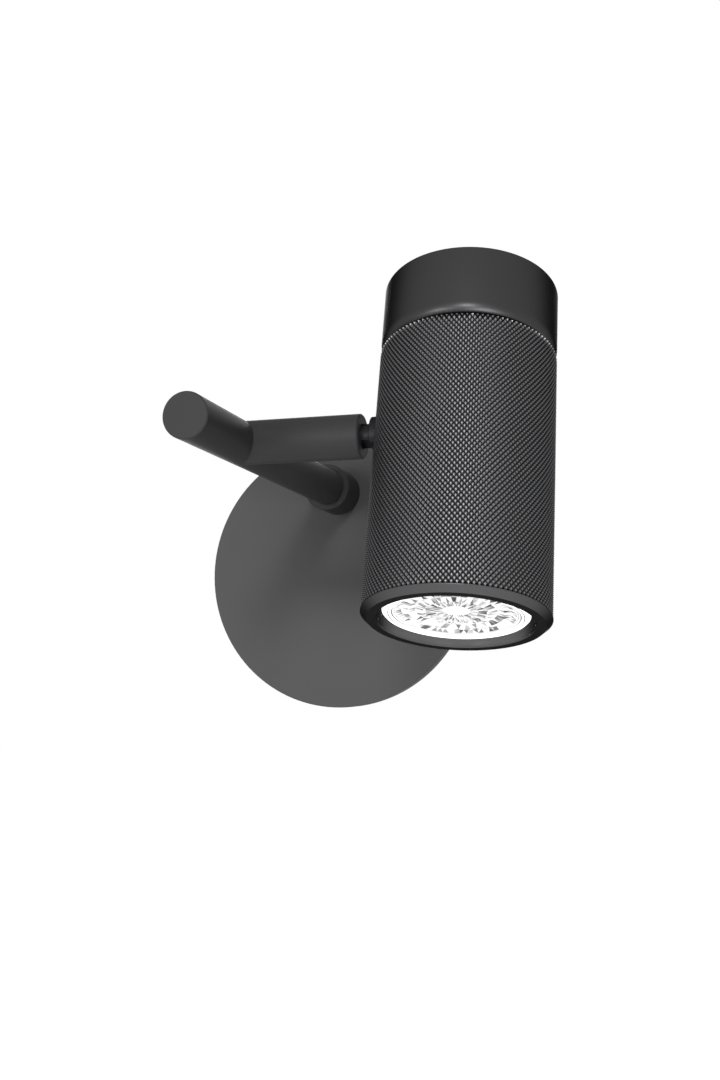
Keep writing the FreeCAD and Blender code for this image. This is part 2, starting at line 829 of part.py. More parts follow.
def head_body():
    """Tube of the head: bevelled mouth, lamp bore, seat, wiring bore and cap spigot."""
    mouth = mouth_diameter / 2
    upper = upper_bore_diameter / 2
    bottom = -head_below_axis
    spigot = spigot_diameter / 2
    body = turned([(mouth, bottom + mouth_edge), (mouth + mouth_edge, bottom),
                   (head_radius - mouth_bevel_width, bottom),
                   (head_radius, bottom + mouth_bevel_height),
                   (head_radius, body_top - body_top_edge),
                   (head_radius - body_top_edge, body_top),
                   (spigot, body_top), (spigot, body_top + spigot_length),
                   (upper, body_top + spigot_length), (upper, holder_seat),
                   (mouth, holder_seat)])
    stud_hole = rod(stud_tail_diameter / 2 + hole_gap, head_radius,
                    vec(0, 0, 0), ALONG_X * -1)
    spot = rod(collar_diameter / 2 + spot_gap, head_radius + cut_past - spot_face,
               vec(-spot_face, 0, 0), ALONG_X * -1)
    groove_low = holder_seat + holder_plate_thickness
    groove = ring(upper + retainer_groove, upper - cut_past, retainer_thickness,
                  vec(0, 0, groove_low), ALONG_Z)
    return leaned(body.cut(stud_hole).cut(spot).cut(groove))


def head_cap():
    """Cup-shaped cap that screws over the body's spigot."""
    outer = cap_diameter / 2
    inner = spigot_diameter / 2 + cap_thread_gap
    return leaned(turned([(0, head_above_axis), (0, head_above_axis - cap_top),
                          (inner, head_above_axis - cap_top), (inner, cap_edge_height),
                          (outer, cap_edge_height, cap_lower_round),
                          (outer, head_above_axis, cap_upper_round)]))


def holder_plate():
    """Disc that carries the lamp holder, notched for the wires and the stud's nut."""
    radius = upper_bore_diameter / 2 - holder_plate_gap
    base = vec(0, 0, holder_seat)
    disc = rod(radius, holder_plate_thickness, base, ALONG_Z)
    half = wire_notch_width / 2
    notch = box_between(vec(-radius - cut_past, -half, holder_seat),
                        vec(-radius + wire_notch_depth, half,
                            holder_seat + holder_plate_thickness))
    disc = disc.cut(notch)
    for side in (-1, 1):
        screw_hole = rod(holder_screw_diameter / 2 + hole_gap, holder_plate_thickness,
                         vec(0, side * holder_screw_pitch / 2, holder_seat), ALONG_Z)
        disc = disc.cut(screw_hole)
    return leaned(disc.cut(rod(holder_screw_diameter / 2, holder_plate_thickness,
                               head_earth_place(), ALONG_Z)))


def head_earth_place():
    return vec(earth_screw_x, earth_screw_y, holder_seat)


def plate_retainer():
    """Retaining ring that holds the plate down, open over the stud's nut."""
    outer = upper_bore_diameter / 2 + retainer_groove - retainer_side_gap
    inner = outer - retainer_width - retainer_groove
    base = vec(0, 0, holder_seat + holder_plate_thickness)
    half = math.radians(retainer_opening / 2)
    reach = outer + cut_past
    wedge = Part.Face(Part.makePolygon([
        base, base + vec(-reach, -reach * math.tan(half), 0),
        base + vec(-reach, reach * math.tan(half), 0), base]))
    opening = wedge.extrude(vec(0, 0, retainer_thickness))
    return leaned(ring(outer, inner, retainer_thickness, base, ALONG_Z).cut(opening))


def lamp_holder():
    """Ceramic twist-lock holder with two pin wells, wire channel and fixing holes."""
    half_x = holder_width / 2
    half_y = holder_length / 2
    block = box_between(vec(-half_x, -half_y, holder_bottom), vec(half_x, half_y, holder_seat))
    upright = [e for e in block.Edges if abs(e.tangentAt(e.FirstParameter).z) > 0.9]
    block = block.makeFillet(holder_corner, upright)
    for side in (-1, 1):
        well = vec(0, side * pin_pitch / 2, holder_bottom)
        block = block.cut(rod(pin_hole_diameter / 2, pin_hole_depth, well, ALONG_Z))
        fixing = vec(0, side * holder_screw_pitch / 2, holder_seat - holder_screw_length)
        block = block.cut(rod(holder_screw_diameter / 2, holder_screw_length, fixing, ALONG_Z))
        entry = vec(-half_x, side * pin_pitch / 4, core_entry_height)
        block = block.cut(rod(core_diameter / 2 + wire_hole_gap, wire_hole_depth,
                              entry, ALONG_X))
    return leaned(block)


def holder_contacts():
    """Two sprung contact blades at the bottoms of the pin wells."""
    blades = []
    for side in (-1, 1):
        centre = vec(0, side * pin_pitch / 2, holder_bottom + pin_hole_depth - contact_thickness)
        blades.append(rod(pin_hole_diameter / 2 - contact_gap, contact_thickness,
                          centre, ALONG_Z))
    return leaned(Part.makeCompound(blades))


def pan_screw(length, under_head):
    """Pan-head screw along +Z; under_head is the point where its head bears."""
    shank = holder_screw_diameter / 2
    head = screw_head_diameter / 2
    return turned([(0, -length), (shank, -length), (shank, 0), (head, 0),
                   (head, screw_head_height - screw_head_bevel),
                   (head - screw_head_bevel, screw_head_height), (0, screw_head_height)],
                  under_head)


def holder_screws():
    screws = []
    top = holder_seat + holder_plate_thickness
    for side in (-1, 1):
        place = vec(0, side * holder_screw_pitch / 2, top)
        screws.append(pan_screw(holder_screw_length, place))
    return leaned(Part.makeCompound(screws))


def head_earth_screw():
    place = head_earth_place() + vec(0, 0, holder_plate_thickness + tag_thickness)
    return leaned(pan_screw(earth_screw_length, place))


def head_earth_tag():
    """Ring tag that joins the head's earth core to the holder plate."""
    base = head_earth_place() + vec(0, 0, holder_plate_thickness)
    tag = rod(tag_diameter / 2, tag_thickness, base, ALONG_Z)
    half = tag_strip_width / 2
    strip = box_between(base + vec(-tag_diameter, -half, 0),
                        base + vec(0, half, tag_thickness))
    crimp = rod(crimp_radius, crimp_length,
                base + vec(-tag_diameter - crimp_length, 0, crimp_radius), ALONG_X)
    tag = tag.fuse(strip).fuse(crimp)
    return leaned(tag.cut(rod(holder_screw_diameter / 2 + hole_gap, tag_thickness,
                              base, ALONG_Z)))


def head_lead_end():
    """Place along X where the sleeve ends and its cores fan out inside the head."""
    return -saddle_face + stud_nut_thickness + lead_past_nut


def head_lead():
    """Short sleeved lead through the swivel stud."""
    start = bush_rear + lead_gap - head_offset
    end = head_lead_end()
    return leaned(rod(lead_diameter / 2, end - start, vec(start, 0, 0), ALONG_X))


def head_cores():
    """Cores from the swivel stud down to the lamp holder and across to the earth tag."""
    start_x = head_lead_end() + lead_gap
    turn_x = start_x + 3.2
    cores = []
    for side in (-1, 1):
        entry_y = side * pin_pitch / 4
        cores.append(tube_along([vec(start_x, side * core_spread, -0.5),
                                 vec(turn_x, entry_y * 0.8, -0.5),
                                 vec(-holder_width / 2 - 3.6, entry_y, core_entry_height),
                                 vec(-holder_width / 2 + core_grip_in_holder, entry_y,
                                     core_entry_height)],
                                core_bend, core_diameter / 2))
    tag_end = head_earth_place() + vec(-tag_diameter - crimp_length, 0,
                                       holder_plate_thickness + crimp_radius)
    cores.append(tube_along([vec(start_x, 0, core_spread + 0.2),
                             vec(-9.0, 4.0, core_spread + 0.2),
                             tag_end + vec(-6.0, 0, 0),
                             tag_end],
                            core_bend, core_diameter / 2))
    return leaned(Part.makeCompound(cores))


# ---------------------------------------------------------------- lamp

def lamp_housing():
    """Reflector-shaped shell: front rim, swept flank and neck."""
    outer = lamp_diameter / 2
    neck = lamp_base_diameter / 2
    window = lamp_window_diameter / 2
    rim_top = lamp_face + lamp_rim_height
    neck_low = lamp_base_plane - lamp_base_height
    swell = vec((outer + neck) / 2 + flank_swell_out, 0,
                (rim_top + neck_low) / 2 - flank_swell_drop)
    inner_swell = swell - vec(lamp_wall, 0, 0)
    points = [vec(window, 0, lamp_face), vec(outer - lamp_edge, 0, lamp_face),
              vec(outer, 0, lamp_face + lamp_edge), vec(outer, 0, rim_top),
              vec(neck, 0, neck_low), vec(neck - lamp_wall, 0, neck_low),
              vec(outer - lamp_wall - lamp_ledge, 0, rim_top), vec(window, 0, rim_top)]
    edges = []
    for i in range(len(points)):
        start = points[i]
        finish = points[(i + 1) % len(points)]
        if i == 3:
            edges.append(Part.Arc(start, swell, finish).toShape())
        elif i == 5:
            edges.append(Part.Arc(start, inner_swell, finish).toShape())
        else:
            edges.append(Part.LineSegment(start, finish).toShape())
    profile = Part.Face(Part.Wire(edges))
    return leaned(profile.revolve(vec(0, 0, 0), ALONG_Z, 360))


def lamp_base():
    """Moulded base that closes the neck and carries the pins."""
    neck = lamp_base_diameter / 2
    plug = neck - lamp_wall - lamp_base_gap
    neck_low = lamp_base_plane - lamp_base_height
    plug_low = neck_low - lamp_base_plug
    return leaned(turned([(0, plug_low), (plug, plug_low), (plug, neck_low),
                          (neck, neck_low), (neck, lamp_base_plane, lamp_base_round),
                          (0, lamp_base_plane)]))


def lamp_pins():
    """Two headed pins that lock into the holder."""
    pins = []
    for side in (-1, 1):
        base = vec(0, side * pin_pitch / 2, lamp_base_plane)
        shank = rod(pin_diameter / 2, pin_length - pin_head_height, base, ALONG_Z)
        head = rod(pin_head_diameter / 2, pin_head_height,
                   base + vec(0, 0, pin_length - pin_head_height), ALONG_Z)
        pins.append(shank.fuse(head))
    return leaned(Part.makeCompound(pins))


def lamp_lens():
    """Moulded optic: flat rim in the window and a cone of clear material behind."""
    rim = lamp_window_diameter / 2 - lens_gap
    low = lamp_face + lens_setback
    seat = lamp_face + lamp_rim_height
    return leaned(turned([(0, low), (rim, low), (rim, seat),
                          (rim - lens_ledge_width, seat + lens_ledge_rise),
                          (emitter_diameter / 2 + lens_flat_width, lens_back),
                          (0, lens_back)]))


def lamp_board():
    """Round board that carries the light source, held in the flank."""
    return leaned(rod(board_diameter / 2, board_thickness,
                      vec(0, 0, lens_back + emitter_gap + emitter_height), ALONG_Z))


def lamp_emitter():
    return leaned(rod(emitter_diameter / 2, emitter_height,
                      vec(0, 0, lens_back + emitter_gap), ALONG_Z))


NODES = {
    "wall_plate": wall_plate,
    "wall_strap": wall_strap,
    "rim_screws": rim_screws,
    "cable_grommet": cable_grommet,
    "terminal_block": terminal_block,
    "earth_tag": earth_tag,
    "stud_nuts": stud_nuts,
    "plate_cores": plate_cores,
    "arm_socket": arm_socket,
    "socket_washer": socket_washer,
    "socket_ring_nut": socket_ring_nut,
    "socket_stop_screw": socket_stop_screw,
    "socket_spring": socket_spring,
    "rod_pivot_plug": rod_pivot_plug,
    "main_rod": main_rod,
    "rod_tip_plug": rod_tip_plug,
    "side_arm": side_arm,
    "arm_end_bush": arm_end_bush,
    "swivel_stop_screw": swivel_stop_screw,
    "swivel_friction_washer": swivel_friction_washer,
    "swivel_spring": swivel_spring,
    "swivel_clip": swivel_clip,
    "arm_lead": arm_lead,
    "swivel_stud": swivel_stud,
    "stud_saddle": stud_saddle,
    "stud_nut": stud_nut,
    "head_body": head_body,
    "head_cap": head_cap,
    "holder_plate": holder_plate,
    "plate_retainer": plate_retainer,
    "lamp_holder": lamp_holder,
    "holder_contacts": holder_contacts,
    "holder_screws": holder_screws,
    "head_earth_screw": head_earth_screw,
    "head_earth_tag": head_earth_tag,
    "head_lead": head_lead,
    "head_cores": head_cores,
    "lamp_housing": lamp_housing,
    "lamp_base": lamp_base,
    "lamp_pins": lamp_pins,
    "lamp_lens": lamp_lens,
    "lamp_board": lamp_board,
    "lamp_emitter": lamp_emitter,
}

os.makedirs("parts", exist_ok=True)
for name, build in NODES.items():
    shape = build()
    solids = len(shape.Solids)
    print(name, "solids", solids, "valid", shape.isValid(), "volume", round(shape.Volume, 1))
    shape.exportStep("parts/" + name + ".step")
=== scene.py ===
"""Looks of a pivoting spotlight wall light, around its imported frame.

The classes hold real sizes in millimetres. Meshes are made in the upright head about the
tilt axis, turned to metres, and leaned to the pose in which the head rests.
"""

from __future__ import annotations

import json
import logging
import math
import random
from dataclasses import dataclass, field
from enum import Enum

import bmesh
import bpy
from mathutils import Matrix, Vector


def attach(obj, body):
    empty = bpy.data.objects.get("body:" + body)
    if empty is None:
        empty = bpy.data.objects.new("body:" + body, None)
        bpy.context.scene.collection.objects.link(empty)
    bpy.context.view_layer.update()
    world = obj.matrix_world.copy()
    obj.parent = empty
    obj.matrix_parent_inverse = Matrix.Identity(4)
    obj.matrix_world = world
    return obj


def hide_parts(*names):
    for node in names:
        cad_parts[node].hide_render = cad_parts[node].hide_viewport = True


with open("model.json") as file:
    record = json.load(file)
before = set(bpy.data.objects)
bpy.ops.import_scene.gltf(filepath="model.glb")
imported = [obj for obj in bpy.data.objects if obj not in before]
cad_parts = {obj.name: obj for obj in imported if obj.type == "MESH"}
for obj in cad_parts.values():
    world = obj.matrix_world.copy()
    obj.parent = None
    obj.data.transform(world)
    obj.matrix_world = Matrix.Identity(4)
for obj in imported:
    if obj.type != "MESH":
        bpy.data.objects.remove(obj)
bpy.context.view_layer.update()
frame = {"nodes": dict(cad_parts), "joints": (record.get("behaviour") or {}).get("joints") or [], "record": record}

LOG = logging.getLogger("wall_light")
MM = 0.001
FULL_TURN = 2 * math.pi
MERGE_MM = 1e-4
WHITE = (1.0, 1.0, 1.0, 1.0)
Point = tuple[float, float]


class Body(str, Enum):
    """The body of the frame that the new pieces ride."""

    LAMP_HEAD = "lamp_head"


class Pattern(Enum):
    """How the grain of a finish runs."""

    EVEN = "even"
    TURNED_ON_HEAD = "turned on the head's axis"


# ------------------------------------------------------------------ finishes


def linear(hex_colour: str) -> tuple[float, float, float, float]:
    """Turn an sRGB hex colour into linear RGBA.

    Args:
        hex_colour: Six hex digits, with or without a leading hash sign.

    Returns:
        The linear red, green and blue values, and an alpha of 1.
    """
    digits = hex_colour.lstrip("#")
    values = [int(digits[i:i + 2], 16) / 255 for i in (0, 2, 4)]
    lin = [v / 12.92 if v <= 0.04045 else ((v + 0.055) / 1.055) ** 2.4 for v in values]
    return lin[0], lin[1], lin[2], 1.0


def add_node(tree: bpy.types.NodeTree, kind: str, links: dict | None = None,
             **settings: object) -> bpy.types.Node:
    """Add a node with its settings, and set or link its inputs.

    Args:
        tree: The node tree that gets the node.
        kind: The node's type name.
        links: For each input, by name or number, a value or the socket that feeds it.
        **settings: Properties of the node itself.

    Returns:
        The new node.
    """
    made = tree.nodes.new(kind)
    for name, value in settings.items():
        setattr(made, name, value)
    for name, value in (links or {}).items():
        if isinstance(value, bpy.types.NodeSocket):
            tree.links.new(value, made.inputs[name])
        else:
            made.inputs[name].default_value = value
    return made


@dataclass(frozen=True)
class HeadPlace:
    """Where the lamp head stands at rest."""

    lean_degrees: float = 16.5

    def pivot(self) -> Vector:
        """Return the point where the tilt axis meets the head's axis, in metres."""
        for joint in frame["joints"]:
            if joint["name"] == "head_tilt":
                return Vector(joint["pos_m"])
        raise ValueError("the frame has no joint named head_tilt")

    def lean(self) -> Matrix:
        """Return the turn about X that takes the upright head to its rest pose."""
        return Matrix.Rotation(math.radians(-self.lean_degrees), 4, "X")

    def matrix(self) -> Matrix:
        """Return the transform from the upright head, in metres, to its rest pose."""
        return Matrix.Translation(self.pivot()) @ self.lean()


HEAD = HeadPlace()


@dataclass(frozen=True)
class TurnedRings:
    """Coordinates that run with a lathe's tool round the head's axis."""

    def vector(self, tree: bpy.types.NodeTree) -> bpy.types.NodeSocket:
        """Return the distance from the head's axis as X and the height along it as Z.

        Args:
            tree: The material's node tree.

        Returns:
            A vector socket in metres.
        """
        on_axis = add_node(tree, "ShaderNodeMapping",
                           {"Vector": add_node(tree, "ShaderNodeTexCoord").outputs["Object"],
                            "Location": HEAD.pivot(),
                            "Rotation": (math.radians(-HEAD.lean_degrees), 0, 0)},
                           vector_type="TEXTURE")
        flat = add_node(tree, "ShaderNodeVectorMath",
                        {0: on_axis.outputs[0], 1: (1, 1, 0)}, operation="MULTIPLY")
        radius = add_node(tree, "ShaderNodeVectorMath", {0: flat.outputs[0]},
                          operation="LENGTH")
        parts = add_node(tree, "ShaderNodeSeparateXYZ", {0: on_axis.outputs[0]})
        return add_node(tree, "ShaderNodeCombineXYZ",
                        {0: radius.outputs["Value"], 2: parts.outputs[2]}).outputs[0]


@dataclass(frozen=True)
class Finish:
    """A surface finish with fine grain and a slow drift of tone.

    A grain finer than about 0.2 mm is drawn at 0.2 mm or more, so that it still shows.
    """

    GRAIN_DETAIL = 3.0
    GRAIN_CONTRAST = 0.6
    TONE_DETAIL = 2.0
    SMOOTHEST = 0.02

    name: str
    colour: str
    roughness: float
    metallic: float = 0.0
    specular: float = 0.5
    grain_mm: float = 0.35
    grain_depth_mm: float = 0.004
    tone_mm: float = 30.0
    tone_share: float = 0.12
    roughness_drift: float = 0.06
    coat: float = 0.0
    glow: float = 0.0
    # The tint of the reflection at a slant; a dark tint is painted shade on the reflection towards the edges.
    slant_shade_tint: str = "#ffffff"
    pattern: Pattern = Pattern.EVEN

    def grain_vector(self, tree: bpy.types.NodeTree) -> bpy.types.NodeSocket:
        """Return the coordinates that the grain follows.

        Args:
            tree: The material's node tree.

        Returns:
            A vector socket in metres.
        """
        if self.pattern is Pattern.TURNED_ON_HEAD:
            return TurnedRings().vector(tree)
        return add_node(tree, "ShaderNodeTexCoord").outputs["Object"]

    def build(self) -> bpy.types.Material:
        """Make the material.

        Returns:
            A new material with its nodes.
        """
        made = bpy.data.materials.new(self.name)
        made.use_nodes = True
        tree = made.node_tree
        tree.nodes.clear()
        vector = self.grain_vector(tree)
        place = add_node(tree, "ShaderNodeTexCoord").outputs["Object"]
        grain = add_node(tree, "ShaderNodeTexNoise",
                         {"Vector": vector, "Scale": 1 / (self.grain_mm * MM),
                          "Detail": self.GRAIN_DETAIL, "Roughness": self.GRAIN_CONTRAST})
        drift = add_node(tree, "ShaderNodeTexNoise",
                         {"Vector": place, "Scale": 1 / (self.tone_mm * MM),
                          "Detail": self.TONE_DETAIL})
        colour = self.shade(tree, drift.outputs["Fac"])
        rough = add_node(tree, "ShaderNodeMapRange",
                         {"Value": grain.outputs["Fac"],
                          "To Min": max(self.roughness - self.roughness_drift, self.SMOOTHEST),
                          "To Max": min(self.roughness + self.roughness_drift, 1.0)})
        bump = add_node(tree, "ShaderNodeBump",
                        {"Strength": 1.0, "Distance": self.grain_depth_mm * MM,
                         "Height": grain.outputs["Fac"]})
        shader = add_node(tree, "ShaderNodeBsdfPrincipled",
                          {"Base Color": colour, "Metallic": self.metallic,
                           "Roughness": rough.outputs[0], "Normal": bump.outputs[0],
                           "Specular IOR Level": self.specular,
                           # A dark tint here paints shade into the reflection at a slant.
                           "Specular Tint": linear(self.slant_shade_tint),
                           "Coat Weight": self.coat})
        self.light_up(tree, shader)
        add_node(tree, "ShaderNodeOutputMaterial", {"Surface": shader.outputs[0]})
        return made

    def shade(self, tree: bpy.types.NodeTree,
              drift: bpy.types.NodeSocket) -> bpy.types.NodeSocket:
        """Return the base colour with its slow drift of tone.

        Args:
            tree: The material's node tree.
            drift: The drift, from 0 to 1.

        Returns:
            The colour's socket.
        """
        base = linear(self.colour)
        low = [c * (1 - self.tone_share) for c in base[:3]] + [1.0]
        high = [min(c * (1 + self.tone_share), 1.0) for c in base[:3]] + [1.0]
        return add_node(tree, "ShaderNodeMix", {0: drift, 6: low, 7: high},
                        data_type="RGBA").outputs[2]

    def light_up(self, tree: bpy.types.NodeTree, shader: bpy.types.Node) -> None:
        """Give a lit piece its own glow.

        Args:
            tree: The material's node tree.
            shader: The material's surface shader.
        """
        if self.glow:
            shader.inputs["Emission Color"].default_value = linear(self.colour)
            shader.inputs["Emission Strength"].default_value = self.glow


@dataclass(frozen=True)
class KnurledFinish(Finish):
    """A knurled skin: crests painted lighter as painted highlight, valleys painted darker as painted shade, and a
    painted shadow along the top edge under the cap.
    """

    # The valley colour is painted shade; the finish's own colour, kept on the crests, is painted highlight.
    valley_shade_colour: str = "#242425"
    plain_colour: str = "#525253"
    valley_radius_mm: float = 31.35
    crest_radius_mm: float = 31.95
    plain_radius_mm: float = 31.15
    plain_height_mm: float = -69.75
    # Above this height, under the cap, the knurl is painted with the valley's dark colour as painted shadow.
    cap_shadow_height_mm: float = 28.0

    def shade(self, tree: bpy.types.NodeTree,
              drift: bpy.types.NodeSocket) -> bpy.types.NodeSocket:
        """Return the base colour: painted highlight and shade on the knurl outside, plain at the mouth and in the
        bore.

        Args:
            tree: The material's node tree.
            drift: The drift, from 0 to 1.

        Returns:
            The colour's socket.
        """
        crest = super().shade(tree, drift)
        place = add_node(tree, "ShaderNodeSeparateXYZ", {0: TurnedRings().vector(tree)})
        # Painted highlight and shade: lighter towards the crests, darker towards the valleys.
        crest_highlight_share = add_node(tree, "ShaderNodeMapRange",
                               {"Value": place.outputs[0],
                                "From Min": self.valley_radius_mm * MM,
                                "From Max": self.crest_radius_mm * MM},
                               interpolation_type="SMOOTHSTEP")
        # Painted shadow: the knurl's top edge under the cap takes the valley's dark colour.
        below_cap_shadow = add_node(tree, "ShaderNodeMath",
                              {0: place.outputs[2], 1: self.cap_shadow_height_mm * MM},
                              operation="LESS_THAN")
        unshaded_share = add_node(tree, "ShaderNodeMath",
                             {0: crest_highlight_share.outputs[0], 1: below_cap_shadow.outputs[0]},
                             operation="MULTIPLY")
        knurl = add_node(tree, "ShaderNodeMix",
                         {0: unshaded_share.outputs[0], 6: linear(self.valley_shade_colour), 7: crest},
                         data_type="RGBA")
        outside = add_node(tree, "ShaderNodeMath",
                           {0: place.outputs[0], 1: self.plain_radius_mm * MM},
                           operation="GREATER_THAN")
        above = add_node(tree, "ShaderNodeMath",
                         {0: place.outputs[2], 1: self.plain_height_mm * MM},
                         operation="GREATER_THAN")
        knurled = add_node(tree, "ShaderNodeMath",
                           {0: outside.outputs[0], 1: above.outputs[0]},
                           operation="MULTIPLY")
        return add_node(tree, "ShaderNodeMix",
                        {0: knurled.outputs[0], 6: linear(self.plain_colour),
                         7: knurl.outputs[2]}, data_type="RGBA").outputs[2]


@dataclass(frozen=True)
class LitRim(Finish):
    """A lit white rim with a moulded groove, which carries painted shade towards the rim's left and right sides.
    """

    # Painted shade: the groove's dark colour, used only towards the rim's left and right sides.
    groove_shade_colour: str = "#3a3a3b"
    groove_radius_mm: float = 22.65
    groove_half_mm: float = 0.42
    side_start_mm: float = 17.0
    side_end_mm: float = 22.0

    def unshaded_share(self, tree: bpy.types.NodeTree) -> bpy.types.NodeSocket:
        """Return 1 on the rim, and less where the groove carries painted shade towards the sides.

        Args:
            tree: The material's node tree.

        Returns:
            The socket with that share.
        """
        place = add_node(tree, "ShaderNodeSeparateXYZ", {0: TurnedRings().vector(tree)})
        off_groove = add_node(tree, "ShaderNodeMath",
                              {0: place.outputs[0], 1: self.groove_radius_mm * MM},
                              operation="SUBTRACT")
        distance = add_node(tree, "ShaderNodeMath", {0: off_groove.outputs[0]},
                            operation="ABSOLUTE")
        groove = add_node(tree, "ShaderNodeMapRange",
                          {"Value": distance.outputs[0], "From Min": 0.0,
                           "From Max": self.groove_half_mm * MM, "To Min": 1.0,
                           "To Max": 0.0}, interpolation_type="SMOOTHSTEP")
        here = add_node(tree, "ShaderNodeSeparateXYZ",
                        {0: add_node(tree, "ShaderNodeTexCoord").outputs["Object"]})
        aside = add_node(tree, "ShaderNodeMath",
                         {0: here.outputs[0], 1: HEAD.pivot().x}, operation="SUBTRACT")
        reach = add_node(tree, "ShaderNodeMath", {0: aside.outputs[0]}, operation="ABSOLUTE")
        side = add_node(tree, "ShaderNodeMapRange",
                        {"Value": reach.outputs[0], "From Min": self.side_start_mm * MM,
                         "From Max": self.side_end_mm * MM})
        # Painted shade: the groove is darkened only towards the rim's left and right sides.
        dark = add_node(tree, "ShaderNodeMath",
                        {0: groove.outputs[0], 1: side.outputs[0]}, operation="MULTIPLY")
        return add_node(tree, "ShaderNodeMath", {0: 1.0, 1: dark.outputs[0]},
                        operation="SUBTRACT").outputs[0]

    def shade(self, tree: bpy.types.NodeTree,
              drift: bpy.types.NodeSocket) -> bpy.types.NodeSocket:
        """Return the rim's colour, with painted shade in its groove towards the sides.

        Args:
            tree: The material's node tree.
            drift: The drift, from 0 to 1.

        Returns:
            The colour's socket.
        """
        return add_node(tree, "ShaderNodeMix",
                        {0: self.unshaded_share(tree), 6: linear(self.groove_shade_colour),
                         7: super().shade(tree, drift)}, data_type="RGBA").outputs[2]

    def light_up(self, tree: bpy.types.NodeTree, shader: bpy.types.Node) -> None:
        """Let the rim glow, except where painted shade darkens its groove.

        Args:
            tree: The material's node tree.
            shader: The material's surface shader.
        """
        lit = add_node(tree, "ShaderNodeMix",
                       {0: self.unshaded_share(tree), 6: linear("#000000"),
                        7: linear(self.colour)}, data_type="RGBA")
        tree.links.new(lit.outputs[2], shader.inputs["Emission Color"])
        shader.inputs["Emission Strength"].default_value = self.glow


@dataclass(frozen=True)
class LitOptic(Finish):
    """Clear moulded acrylic with the light behind it; each facet has its own tone."""

    def light_up(self, tree: bpy.types.NodeTree, shader: bpy.types.Node) -> None:
        """Let each facet glow by the tone that its mesh carries.

        Args:
            tree: The material's node tree.
            shader: The material's surface shader.
        """
        tone = add_node(tree, "ShaderNodeAttribute", attribute_name=LampOptic.TONE)
        tree.links.new(tone.outputs["Color"], shader.inputs["Emission Color"])
        shader.inputs["Emission Strength"].default_value = self.glow


